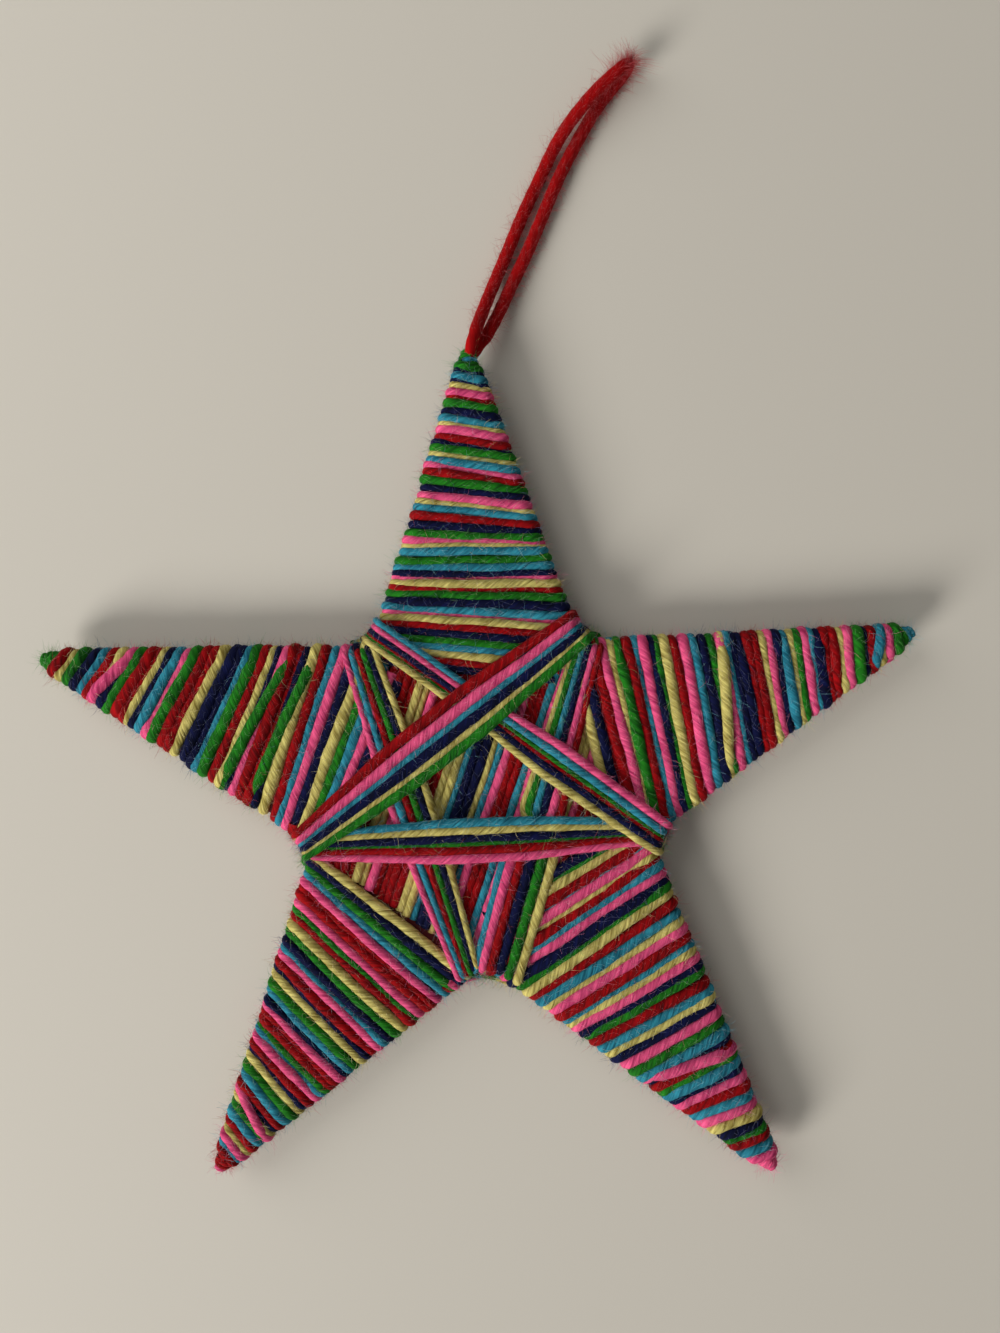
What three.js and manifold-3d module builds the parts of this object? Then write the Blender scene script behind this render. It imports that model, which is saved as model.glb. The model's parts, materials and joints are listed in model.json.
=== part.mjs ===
// A five-pointed star ornament. A flat card star is wound with a ribbon of six yarns.
// The ribbon covers each arm and crosses the middle from notch to notch, front and back.
// A doubled red yarn at the top tip is the hanging loop. Millimetres, +Z up, face up.
import * as THREE from 'three';
import { mergeVertices } from 'three/addons/utils/BufferGeometryUtils.js';
import Module from 'manifold-3d';

const wasm = await Module();
wasm.setup();

// Card star: reach is from the centre to the blunt end of an arm.
const TOP_REACH = 73.3;
const RIGHT_REACH = 77.1;
const LOWER_RIGHT_REACH = 80.7;
const LOWER_LEFT_REACH = 77.7;
const LEFT_REACH = 76.5;
const TIP_WIDTH = 1.4;
const NOTCH_RADIUS = 29.1;
const NOTCH_FILLET = 6;
const NOTCH_FACETS = 32;
const CARD_THICKNESS = 2;

// Yarn as it is wound: a flattened strand with a narrower crown, and the clear space beside it.
const YARN_WIDTH = 0.82;
const YARN_CROWN = 0.45;
const YARN_HEIGHT = 0.95;
const YARN_GAP = 0.2;
const RIBBON_PITCH = 1.22;
const BAND_PITCH = 1.2;
const BAND_STEP = 1.4;
const FACE_SHARE = 0.29;
const NOTCH_MARGIN = 1;

// Underwrap in the middle, and the angle of its strands to the X axis.
const UNDERWRAP_PITCH = 4.2;
const UNDERWRAP_ANGLE = 75;

// Knob of glued yarn on each tip: it stands out past the card and covers a little of it.
const KNOB_WIDTH = 3.8;
const KNOB_DEPTH = 4.2;
const KNOB_LENGTH = 2;
const KNOB_COVER = 1.2;
const KNOB_FACETS = 16;

// Hanging loop.
const LOOP_YARN = 2.2;
const LOOP_STEPS = 40;
const LOOP_SIDES = 8;

const RIBBON = ['red', 'pink', 'light_blue', 'navy', 'yellow', 'green'];
const COLOURS = {
  red: 0xa60a14,
  pink: 0xe0578a,
  light_blue: 0x3f9cba,
  navy: 0x16204f,
  yellow: 0xd9c66a,
  green: 0x2c7a35,
};

// Each arm with the order of its yarns from tip to base, and the colour of its knob.
const ARMS = [
  { name: 'top', reach: TOP_REACH, knob: 'green', order: [4, 1, 0, 5, 3, 2] },
  { name: 'right', reach: RIGHT_REACH, knob: 'light_blue', order: [5, 1, 4, 0, 3, 2] },
  { name: 'lower_right', reach: LOWER_RIGHT_REACH, knob: 'pink', order: [1, 2, 0, 5, 3, 4] },
  { name: 'lower_left', reach: LOWER_LEFT_REACH, knob: 'red', order: [0, 1, 2, 5, 4, 3] },
  { name: 'left', reach: LEFT_REACH, knob: 'green', order: [5, 0, 4, 3, 2, 1] },
];

// Route of the hanging loop from the top tip: out along the lower leg, over the fold, and back.
// X and Y are from the middle of the top knob, Z is above the table.
const LOOP_ROUTE = [
  [1.7, 2, 3.3],
  [3.6, 4.8, 2.8],
  [5.7, 8.8, 1.8],
  [7.9, 13.4, 1.3],
  [10.4, 18.3, 1.2],
  [12.6, 23, 1.2],
  [16.8, 32.2, 1.2],
  [19.8, 37.7, 1.2],
  [22.7, 42.5, 1.2],
  [25, 45.6, 1.2],
  [27.2, 48, 1.4],
  [28.9, 49.8, 2.2],
  [29.1, 50.2, 3.4],
  [27.8, 49.1, 4.5],
  [25.4, 47.1, 4.6],
  [23, 45, 4.3],
  [20.6, 42.6, 3.7],
  [18.4, 40.2, 2.9],
  [16.2, 37.2, 1.9],
  [13.2, 31.6, 1.2],
  [10.1, 25.4, 1.2],
  [7, 18.4, 1.4],
  [4.2, 11.9, 2.4],
  [2.5, 7.4, 4.1],
  [1.4, 4.2, 5.5],
  [0.7, 2.1, 6],
];

const radians = THREE.MathUtils.degToRad;
const ARM_STEP = radians(360 / ARMS.length);
const FRONT = new THREE.Vector3(0, 0, 1);
const HALF_CARD = CARD_THICKNESS / 2;
const HALF_YARN = YARN_HEIGHT / 2;
const WIND_OFFSET = YARN_GAP + HALF_YARN;
const TIP_MARGIN = KNOB_COVER + YARN_WIDTH + YARN_GAP;
const ARM_LEVEL = HALF_CARD + WIND_OFFSET;
const BAND_LEVEL = ARM_LEVEL + YARN_HEIGHT + YARN_GAP;

// A point u to the right of an arm's axis and v along it, for the axis at a bearing from +Y.
function across(bearing, u, v, z = 0) {
  const s = Math.sin(bearing);
  const c = Math.cos(bearing);
  return new THREE.Vector3(u * c + v * s, v * c - u * s, z);
}

function paint(name, geometry, colour, roughness = 0.95) {
  const material = new THREE.MeshStandardMaterial({ color: colour, roughness, metalness: 0 });
  const mesh = new THREE.Mesh(geometry, material);
  mesh.name = name;
  return mesh;
}

// The side of an arm, from the tip corner to the sharp notch corner, in the arm's own u and v.
// side is -1 on the left and +1 on the right.
function armEdge(reach, side) {
  const half = ARM_STEP / 2;
  const tip = new THREE.Vector2(side * TIP_WIDTH / 2, reach);
  const notch = new THREE.Vector2(side * NOTCH_RADIUS * Math.sin(half), NOTCH_RADIUS * Math.cos(half));
  const along = notch.clone().sub(tip);
  const length = along.length();
  along.divideScalar(length);
  const normal = new THREE.Vector2(side * -along.y, side * along.x);
  return { tip, along, normal, length };
}

// Half the open angle of a notch, between the sides of two arms of mean reach.
const MEAN_REACH = ARMS.reduce((sum, arm) => sum + arm.reach, 0) / ARMS.length;
const meanEdge = armEdge(MEAN_REACH, 1);
const TIP_HALF_ANGLE = Math.atan2(meanEdge.along.x, -meanEdge.along.y);
const NOTCH_HALF_ANGLE = TIP_HALF_ANGLE + ARM_STEP / 2;
const FILLET_CENTRE = NOTCH_RADIUS + NOTCH_FILLET / Math.sin(NOTCH_HALF_ANGLE);
const FILLET_TANGENT = NOTCH_FILLET / Math.tan(NOTCH_HALF_ANGLE);

// A closed geometry as a solid that can be cut, and a solid as flat-shaded geometry.
function toSolid(geometry) {
  const bare = new THREE.BufferGeometry();
  bare.setAttribute('position', geometry.getAttribute('position'));
  bare.setIndex(geometry.getIndex());
  const merged = mergeVertices(bare);
  const mesh = new wasm.Mesh({
    numProp: 3,
    vertProperties: new Float32Array(merged.getAttribute('position').array),
    triVerts: new Uint32Array(merged.getIndex().array),
  });
  return new wasm.Manifold(mesh);
}

function fromSolid(solid) {
  const mesh = solid.getMesh();
  const geometry = new THREE.BufferGeometry();
  geometry.setAttribute('position', new THREE.BufferAttribute(mesh.vertProperties, mesh.numProp));
  geometry.setIndex(new THREE.BufferAttribute(mesh.triVerts, 1));
  const flat = geometry.toNonIndexed();
  flat.computeVertexNormals();
  return flat;
}

// A flat outline pushed out along Z, from a height.
function slab(corners, height, thickness) {
  const shape = new THREE.Shape(corners.map((p) => new THREE.Vector2(p.x, p.y)));
  const geometry = new THREE.ExtrudeGeometry(shape, { depth: thickness, bevelEnabled: false });
  return geometry.translate(0, 0, height);
}

// A solid with a round cut in every notch.
function cutNotches(solid, radius) {
  return ARMS.reduce((left, arm, i) => {
    const centre = across((i + 0.5) * ARM_STEP, 0, FILLET_CENTRE);
    const round = new THREE.CylinderGeometry(radius, radius, 4 * CARD_THICKNESS, NOTCH_FACETS);
    round.rotateX(Math.PI / 2).translate(centre.x, centre.y, 0);
    return left.subtract(toSolid(round));
  }, solid);
}

// The card: blunt tips joined by straight sides, and a round cut in every notch.
function cardGeometry() {
  const corners = [];
  ARMS.forEach((arm, i) => {
    const bearing = i * ARM_STEP;
    corners.push(across(bearing, -TIP_WIDTH / 2, arm.reach));
    corners.push(across(bearing, TIP_WIDTH / 2, arm.reach));
    const right = armEdge(arm.reach, 1);
    const start = right.tip.clone().addScaledVector(right.along, right.length - FILLET_TANGENT);
    corners.push(across(bearing, start.x, start.y));
    const left = armEdge(ARMS[(i + 1) % ARMS.length].reach, -1);
    const end = left.tip.clone().addScaledVector(left.along, left.length - FILLET_TANGENT);
    corners.push(across(bearing + ARM_STEP, end.x, end.y));
  });
  const blank = toSolid(slab(corners, -HALF_CARD, CARD_THICKNESS));
  return fromSolid(cutNotches(blank, NOTCH_FILLET));
}

// Cross-section of a strand pulled tight, as [across, outward]: a flat bed and a narrower flat crown.
const SECTION = [
  [YARN_WIDTH / 2, -HALF_YARN],
  [-YARN_WIDTH / 2, -HALF_YARN],
  [-YARN_CROWN / 2, HALF_YARN],
  [YARN_CROWN / 2, HALF_YARN],
];

// Mitre of two unit directions: the vector that keeps the same offset on both runs.
function mitre(a, b) {
  return a.clone().add(b).divideScalar(1 + a.dot(b));
}

// A closed tube along a bent line. facing[i] is the way out of the object on the run from point i.
function strand(points, facing) {
  const runs = facing.map((hint, i) => {
    const travel = points[i + 1].clone().sub(points[i]).normalize();
    const out = hint.clone().addScaledVector(travel, -hint.dot(travel)).normalize();
    return { out, side: travel.clone().cross(out) };
  });
  const positions = [];
  points.forEach((point, i) => {
    const before = runs[Math.max(i - 1, 0)];
    const after = runs[Math.min(i, runs.length - 1)];
    const side = mitre(before.side, after.side);
    const out = mitre(before.out, after.out);
    SECTION.forEach(([a, b]) => {
      positions.push(...point.clone().addScaledVector(side, a).addScaledVector(out, b).toArray());
    });
  });
  const sides = SECTION.length;
  const faces = [];
  for (let i = 0; i + 1 < points.length; i += 1) {
    for (let j = 0; j < sides; j += 1) {
      const a = i * sides + j;
      const b = i * sides + (j + 1) % sides;
      faces.push(a, b, b + sides, a, b + sides, a + sides);
    }
  }
  const last = (points.length - 1) * sides;
  for (let j = 1; j + 1 < sides; j += 1) {
    faces.push(0, j + 1, j, last, last + j, last + j + 1);
  }
  const geometry = new THREE.BufferGeometry();
  geometry.setAttribute('position', new THREE.Float32BufferAttribute(positions, 3));
  geometry.setIndex(faces);
  const flat = geometry.toNonIndexed();
  flat.computeVertexNormals();
  return flat;
}

// Least clear space between stretches of one line that are over reach apart along it.
function leastGap(points, thickness, reach) {
  const samples = [];
  let travelled = 0;
  for (let i = 0; i + 1 < points.length; i += 1) {
    const length = points[i].distanceTo(points[i + 1]);
    const count = Math.ceil(length);
    for (let j = 0; j < count; j += 1) {
      samples.push({ at: points[i].clone().lerp(points[i + 1], j / count), s: travelled + length * j / count });
    }
    travelled += length;
  }
  let least = Infinity;
  for (let i = 0; i < samples.length; i += 1) {
    for (let j = i + 1; j < samples.length; j += 1) {
      if (samples[j].s - samples[i].s > reach) {
        least = Math.min(least, samples[i].at.distanceTo(samples[j].at));
      }
    }
  }
  return least - thickness;
}

// One yarn wound down an arm. The six yarns lie side by side, so a turn moves on by six strands:
// a share of it on each face, and the rest on the two sides. It starts and stops at the ends of the arm.
const CORNERS = [
  { side: -1, level: 1, phase: 0 },
  { side: 1, level: 1, phase: FACE_SHARE },
  { side: 1, level: -1, phase: 0.5 },
  { side: -1, level: -1, phase: 0.5 + FACE_SHARE },
];

function armWinding(arm, bearing, place) {
  const edges = { [-1]: armEdge(arm.reach, -1), 1: armEdge(arm.reach, 1) };
  const end = edges[1].length - FILLET_TANGENT - NOTCH_MARGIN;
  const strands = Math.floor((end - TIP_MARGIN) / RIBBON_PITCH);
  const pitch = (end - TIP_MARGIN) / strands;
  const advance = RIBBON.length * pitch;
  const corners = [];
  for (let turn = -1; turn <= strands / RIBBON.length; turn += 1) {
    CORNERS.forEach((corner) => {
      const s = TIP_MARGIN + (place + 0.5) * pitch + (turn + corner.phase) * advance;
      const edge = edges[corner.side];
      const spot = edge.tip.clone().addScaledVector(edge.along, s).addScaledVector(edge.normal, WIND_OFFSET);
      corners.push({ ...corner, s, at: across(bearing, spot.x, spot.y, corner.level * ARM_LEVEL) });
    });
  }
  const points = [];
  const facing = [];
  corners.slice(0, -1).forEach((corner, i) => {
    const next = corners[i + 1];
    const enter = Math.max(corner.s, TIP_MARGIN);
    const leave = Math.min(next.s, end);
    const run = (leave - enter) / (next.s - corner.s) * corner.at.distanceTo(next.at);
    const onSide = corner.side === next.side;
    const first = points.length === 0;
    if (run < 2 * YARN_HEIGHT || (first && onSide)) return;
    const spot = (s) => corner.at.clone().lerp(next.at, (s - corner.s) / (next.s - corner.s));
    if (first) points.push(spot(enter));
    points.push(spot(leave));
    const normal = edges[corner.side].normal;
    facing.push(onSide ? across(bearing, normal.x, normal.y) : FRONT.clone().multiplyScalar(corner.level));
  });
  return { points, facing };
}

// Where the arm windings stop, as a distance along the arm from the centre.
function windingEnd(arm) {
  const edge = armEdge(arm.reach, 1);
  return edge.tip.y + edge.along.y * (edge.length - FILLET_TANGENT - NOTCH_MARGIN);
}

// The ribbon's way over the middle: every second notch, front and back by turns.
// Notch 0 lies clockwise of the top arm. levels are at the start, the two crossings and the end.
const CROSSINGS = [
  { from: 4, to: 1, level: 1, levels: [1, 0, 1, 1] },
  { from: 1, to: 3, level: -1, levels: [1, 1, 1, 1] },
  { from: 3, to: 0, level: 1, levels: [1, 1, 1, 1] },
  { from: 0, to: 2, level: -1, levels: [1, 1, 0, 1] },
  { from: 2, to: 4, level: 1, levels: [1, 0, 0, 0] },
  { from: 4, to: 1, level: -1, levels: [0, 0, 0, 0] },
  { from: 1, to: 3, level: 1, levels: [0, 1, 1, 0] },
  { from: 3, to: 0, level: -1, levels: [0, 0, 1, 0] },
  { from: 0, to: 2, level: 1, levels: [0, 0, 0, 0] },
  { from: 2, to: 4, level: -1, levels: [0, 0, 1, 1] },
];
const BAND_STATIONS = [[0.19, 0.305], [0.46, 0.54], [0.695, 0.81]];

// End of a strand in a notch: place counts strands sideways from the notch's middle.
function notchSpot(notch, place, layer) {
  const bearing = (notch + 0.5) * ARM_STEP;
  const round = NOTCH_FILLET - WIND_OFFSET;
  const sideways = place * BAND_PITCH;
  const depth = Math.sqrt(round * round - sideways * sideways) - layer * BAND_STEP;
  return across(bearing, sideways, FILLET_CENTRE - depth);
}

function bandLine(index) {
  const points = [];
  const facing = [];
  CROSSINGS.forEach((crossing, n) => {
    const place = (index - (RIBBON.length - 1) / 2) * (n % 2 ? -1 : 1);
    const height = (level) => crossing.level * (BAND_LEVEL + level * BAND_STEP);
    const start = notchSpot(crossing.from, place, crossing.levels[0]);
    const end = notchSpot(crossing.to, -place, crossing.levels[3]);
    const away = across((crossing.from + 0.5) * ARM_STEP, 0, 1);
    if (n === 0) {
      points.push(start.clone().setZ(YARN_HEIGHT));
      facing.push(away);
    }
    const out = FRONT.clone().multiplyScalar(crossing.level);
    points.push(start.clone().setZ(height(crossing.levels[0])));
    facing.push(out);
    BAND_STATIONS.forEach(([leave, reach], i) => {
      if (crossing.levels[i] === crossing.levels[i + 1]) return;
      points.push(start.clone().lerp(end, leave).setZ(height(crossing.levels[i])));
      points.push(start.clone().lerp(end, reach).setZ(height(crossing.levels[i + 1])));
      facing.push(out, out);
    });
    points.push(end.clone().setZ(height(crossing.levels[3])));
    facing.push(across((crossing.to + 0.5) * ARM_STEP, 0, 1));
    if (n === CROSSINGS.length - 1) points.push(end.clone().setZ(-YARN_HEIGHT));
  });
  return { points, facing };
}

// First yarn over the middle of one face: a ribbed pentagon between the arm windings.
function underwrapGeometry(turn) {
  const inradius = Math.min(...ARMS.map(windingEnd)) - YARN_WIDTH / 2 - YARN_GAP;
  const radius = inradius / Math.cos(ARM_STEP / 2);
  const corners = ARMS.map((arm, i) => across((i + 0.5) * ARM_STEP, 0, radius));
  const bed = HALF_CARD + YARN_GAP;
  const pentagon = cutNotches(toSolid(slab(corners, bed, YARN_HEIGHT)), NOTCH_FILLET + YARN_GAP);
  const count = Math.ceil(radius / UNDERWRAP_PITCH);
  const ribs = new THREE.Shape();
  ribs.moveTo(-count * UNDERWRAP_PITCH, 0);
  ribs.lineTo(count * UNDERWRAP_PITCH, 0);
  for (let i = count; i > -count; i -= 1) {
    ribs.lineTo(i * UNDERWRAP_PITCH, HALF_YARN);
    ribs.lineTo((i - 0.5) * UNDERWRAP_PITCH, YARN_HEIGHT);
  }
  ribs.lineTo(-count * UNDERWRAP_PITCH, HALF_YARN);
  ribs.closePath();
  const sheet = new THREE.ExtrudeGeometry(ribs, { depth: 4 * radius, bevelEnabled: false });
  sheet.translate(0, 0, -2 * radius).rotateX(Math.PI / 2);
  sheet.rotateZ(radians(UNDERWRAP_ANGLE - 90)).translate(0, 0, bed);
  return fromSolid(pentagon.intersect(toSolid(sheet))).rotateY(turn);
}

// A rounded knob over the end of an arm, with a slot for the card.
function knobGeometry(arm, bearing) {
  const ball = new THREE.SphereGeometry(1, KNOB_FACETS, KNOB_FACETS / 2);
  ball.scale(KNOB_WIDTH / 2, KNOB_LENGTH, KNOB_DEPTH / 2).translate(0, arm.reach, 0);
  const beyond = new THREE.BoxGeometry(KNOB_WIDTH, 2 * KNOB_LENGTH, KNOB_DEPTH);
  beyond.translate(0, arm.reach - KNOB_COVER - KNOB_LENGTH, 0);
  const slotCorners = [1, -1].flatMap((side) => {
    const { tip, along, normal, length } = armEdge(arm.reach, side);
    const start = tip.clone().addScaledVector(normal, YARN_GAP);
    const toEnd = (tip.y + YARN_GAP - start.y) / along.y;
    const ends = [toEnd, length].map((s) => start.clone().addScaledVector(along, s));
    return side > 0 ? ends : ends.reverse();
  });
  const slot = slab(slotCorners, -HALF_CARD - YARN_GAP, CARD_THICKNESS + 2 * YARN_GAP);
  return fromSolid(toSolid(ball).subtract(toSolid(beyond)).subtract(toSolid(slot))).rotateZ(-bearing);
}

function loopGeometry() {
  const line = new THREE.CatmullRomCurve3(LOOP_ROUTE.map((p) => new THREE.Vector3(...p)));
  const section = new THREE.Shape();
  for (let i = 0; i < LOOP_SIDES; i += 1) {
    const angle = (i + 0.5) * 2 * Math.PI / LOOP_SIDES;
    const spot = [LOOP_YARN / 2 * Math.cos(angle), LOOP_YARN / 2 * Math.sin(angle)];
    if (i === 0) section.moveTo(...spot);
    else section.lineTo(...spot);
  }
  section.closePath();
  const geometry = new THREE.ExtrudeGeometry(section, { steps: LOOP_STEPS, extrudePath: line });
  return { geometry, line };
}

const star = new THREE.Group();
star.name = 'star';
star.add(paint('star_card', cardGeometry(), 0x8c1a1a, 0.9));
star.add(paint('underwrap_front', underwrapGeometry(0), 0x7a0f18));
star.add(paint('underwrap_back', underwrapGeometry(Math.PI), 0x7a0f18));

let windingGap = Infinity;
ARMS.forEach((arm, i) => {
  const bearing = i * ARM_STEP;
  arm.order.forEach((colour, place) => {
    const { points, facing } = armWinding(arm, bearing, place);
    const name = `${arm.name}_arm_${RIBBON[colour]}_yarn`;
    star.add(paint(name, strand(points, facing), COLOURS[RIBBON[colour]]));
    windingGap = Math.min(windingGap, leastGap(points, YARN_HEIGHT, 8));
  });
  star.add(paint(`${arm.name}_tip_knob`, knobGeometry(arm, bearing), COLOURS[arm.knob]));
});

let bandGap = Infinity;
RIBBON.forEach((colour, index) => {
  const { points, facing } = bandLine(index);
  star.add(paint(`centre_${colour}_yarn`, strand(points, facing), COLOURS[colour]));
  bandGap = Math.min(bandGap, leastGap(points, YARN_HEIGHT, 8));
});

// The star lies on its back bands, with the middle of its outline over the origin.
const box = new THREE.Box3().setFromObject(star);
const middle = box.getCenter(new THREE.Vector3());
star.position.set(-middle.x, -middle.y, -box.min.z);

const loop = loopGeometry();
const hangingLoop = paint('hanging_loop', loop.geometry, COLOURS.red);
hangingLoop.position.set(star.position.x, star.position.y + TOP_REACH, 0);

const part = new THREE.Group();
part.name = 'yarn_star';
part.add(star, hangingLoop);

const loopPoints = loop.line.getSpacedPoints(120);
console.log('least gap of a winding to itself', windingGap.toFixed(2));
console.log('least gap of a centre yarn to itself', bandGap.toFixed(2));
console.log('least gap of the hanging loop to itself', leastGap(loopPoints, LOOP_YARN, 10).toFixed(2));
console.log('length of the hanging loop', loop.line.getLength().toFixed(1));
console.log('pivot of the hanging loop', hangingLoop.position.toArray().map((v) => v.toFixed(3)).join(' '));
console.log('size of the star', box.getSize(new THREE.Vector3()).toArray().map((v) => v.toFixed(2)).join(' '));

export default part;
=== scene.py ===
"""A yarn-wound star ornament with a hanging loop, face up on a pale table, seen from straight above."""

import json
import math
import random
from collections import namedtuple

import bmesh
import bpy
import numpy as np
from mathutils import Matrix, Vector, noise


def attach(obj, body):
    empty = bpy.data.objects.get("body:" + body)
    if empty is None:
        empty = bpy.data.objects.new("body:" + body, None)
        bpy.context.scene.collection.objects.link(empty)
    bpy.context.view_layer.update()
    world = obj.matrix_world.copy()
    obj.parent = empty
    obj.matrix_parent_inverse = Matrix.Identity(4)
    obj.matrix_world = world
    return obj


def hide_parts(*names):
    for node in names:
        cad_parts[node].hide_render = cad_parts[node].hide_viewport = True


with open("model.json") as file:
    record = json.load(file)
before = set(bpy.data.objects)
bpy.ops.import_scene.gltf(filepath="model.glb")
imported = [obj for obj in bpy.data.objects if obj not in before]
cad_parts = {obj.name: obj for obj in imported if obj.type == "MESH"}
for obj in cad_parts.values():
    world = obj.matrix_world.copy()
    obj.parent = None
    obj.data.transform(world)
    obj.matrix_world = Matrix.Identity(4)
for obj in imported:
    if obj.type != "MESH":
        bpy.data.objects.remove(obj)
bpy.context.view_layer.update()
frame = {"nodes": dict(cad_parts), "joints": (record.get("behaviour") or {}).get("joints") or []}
MM = 0.001

# Card star, in millimetres from its centre. Bearings are clockwise from the top arm.
ARMS = ("top", "right", "lower_right", "lower_left", "left")
REACH = {"top": 73.3, "right": 77.1, "lower_right": 80.7, "lower_left": 77.7, "left": 76.5}
ARM_STEP = math.radians(72)
TIP_WIDTH = 1.4
NOTCH_RADIUS = 29.1
NOTCH_FILLET = 6
HALF_CARD = 1.0

# Yarn pulled tight: plies twisted together. It wanders and its thickness changes, at rates by the millimetre.
YARN_RADIUS = 0.75
YARN_SHARE = 0.58
THIN_SHARE = 0.82
PLIES = 4
PLY_DEPTH = 0.05
SECTION_POINTS = 12
TWIST_LENGTH = -6.0
YARN_STEP = 0.55
SEED_RANGE = 500
SWAY_RATE = 0.12
SWAY_PLANES = (0.5, 31.5, 62.5)
YARN_UNEVEN = 0.16
UNEVEN_RATE = 0.35
UNEVEN_PLANE = 9
WELD_DISTANCE = 1e-7

# Yarn's look: noise by the millimetre along it and by the turn round it, and patches by the metre.
BUNDLE_SCALE = (0.3, 8)
BUNDLE_DETAIL = 1
FIBRE_SCALE = (0.6, 20)
FIBRE_DETAIL = 3
FIBRE_SHARE = 0.9
PATCH_SCALE = 300
PATCH_DETAIL = 2
PATCH_SHARE = 0.4
SHADE_RANGE = (0.45, 1.85)
SHADE_ENDS = (0.3, 0.75)
RELIEF_DEPTH = 0.00025

# Looks of the fuzz and the card: clumps and grain by the metre.
CLUMP_SCALE = 1500
CLUMP_DETAIL = 2
CLUMP_ENDS = (0.35, 0.65)
GRAIN_SCALE = 900
GRAIN_DETAIL = 4
GRAIN_ENDS = (0, 1)

# Windings of the arms, measured along the side of an arm from its tip.
ARM_HEIGHT = HALF_CARD + 0.6
ARM_CROWN = 0.55
CROWN_WIDTH = 25
ARM_SWAY = 0.28
WINDING_START = 1.4
WINDING_LEAST = WINDING_START * 0.6
LAST_TURN = 4
EDGE_OUT = 0.45
EDGE_INSET = 1.1
EDGE_INSET_FROM = 15
EDGE_SWELL = 1.06
EDGE_STEPS = 10
FACE_STEPS = 8
SIDE_SPREAD = 0.6
STRAND_PLAY = 0.15
STRAND_THICKNESS = (0.92, 1.08)
LIFT_ONSET = 4
INNER_SINK = 0.2
STEEP_RISE = 3.0
STEEP_WIDTH = 12
STEEP_LIFT = 0.5
STEEP_ROOM = 0.25
HIDDEN_ROOM = 0.5
HIDDEN_SINK = 0.18

# Slope of the yarns across each arm, at shares of its length from tip to notch.
SLOPE_PLACES = (0.1, 0.25, 0.4, 0.55, 0.7, 0.85, 1.0)
SLOPES = {
    "top": (0.27, 0.22, 0.2, 0.14, 0.0, 0.07, 0.14),
    "right": (0.33, 0.22, 0.19, 0.16, 0.17, 0.14, 0.12),
    "lower_right": (0.33, 0.28, 0.13, 0.16, 0.1, 0.05, 0.1),
    "lower_left": (0.36, 0.3, 0.21, 0.2, 0.16, 0.13, 0.06),
    "left": (0.45, 0.32, 0.22, 0.19, 0.1, 0.02, 0.1),
}

COLOURS = {"R": "red", "P": "pink", "B": "light_blue", "N": "navy", "Y": "yellow", "G": "green"}

# Yarns on the front of each arm from tip to base. A small letter is a yarn half hidden by its neighbours,
# and a plus sign comes after a yarn that slants over them.
WINDING_ORDER = {
    "top": "GnBnyPrGNByPRnGyBpRGNPyBRNGpyBGBnpYrGNBpYRNGBYRN",
    "right": "GPyB+RnGPyRrNbPgyBnPyRrNnbPY+gNBPRYgnPbRGyPRrNY",
    "lower_right": "PBRgNYPBRPnBgRP+nBGPNyBRGnPybRPyBRYgNPbRyPbRYgN",
    "lower_left": "RbPyRBGyP+nRBGYnRPbgRrPnBGYnRPbNGYRgPRrPBGNY",
    "left": "RyGNbRyP+nGRrynBpGRrYNnbGRynG+pRrnG+YRbPNYGBPN",
}

# How far each arm's winding goes on past the notches, towards the centre.
BASE_REACH = {"top": 6.5, "right": 5.5, "lower_right": 8.0, "lower_left": -1.4, "left": 7.0}

# Yarns of the knob on each tip, from the arm outwards.
KNOB_ORDER = {"top": "GBGG", "right": "GB", "lower_right": "PP", "lower_left": "RRP", "left": "GG"}
KNOB_SIZE = {"top": 1.0, "right": 1.0, "lower_right": 1.0, "lower_left": 1.0, "left": 1.12}
KNOB_TURNS = 3.6
KNOB_STEPS = 24
KNOB_BACK = 1.6
KNOB_LENGTH = 3.0
KNOB_TAPER = 1.7
KNOB_HALF_WIDTH = 1.2
KNOB_HALF_HEIGHT = 1.5
KNOB_CORE = 0.05
KNOB_FULLNESS = 0.92
KNOB_THINNING = 0.3
KNOB_SWAY = 0.08

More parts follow.
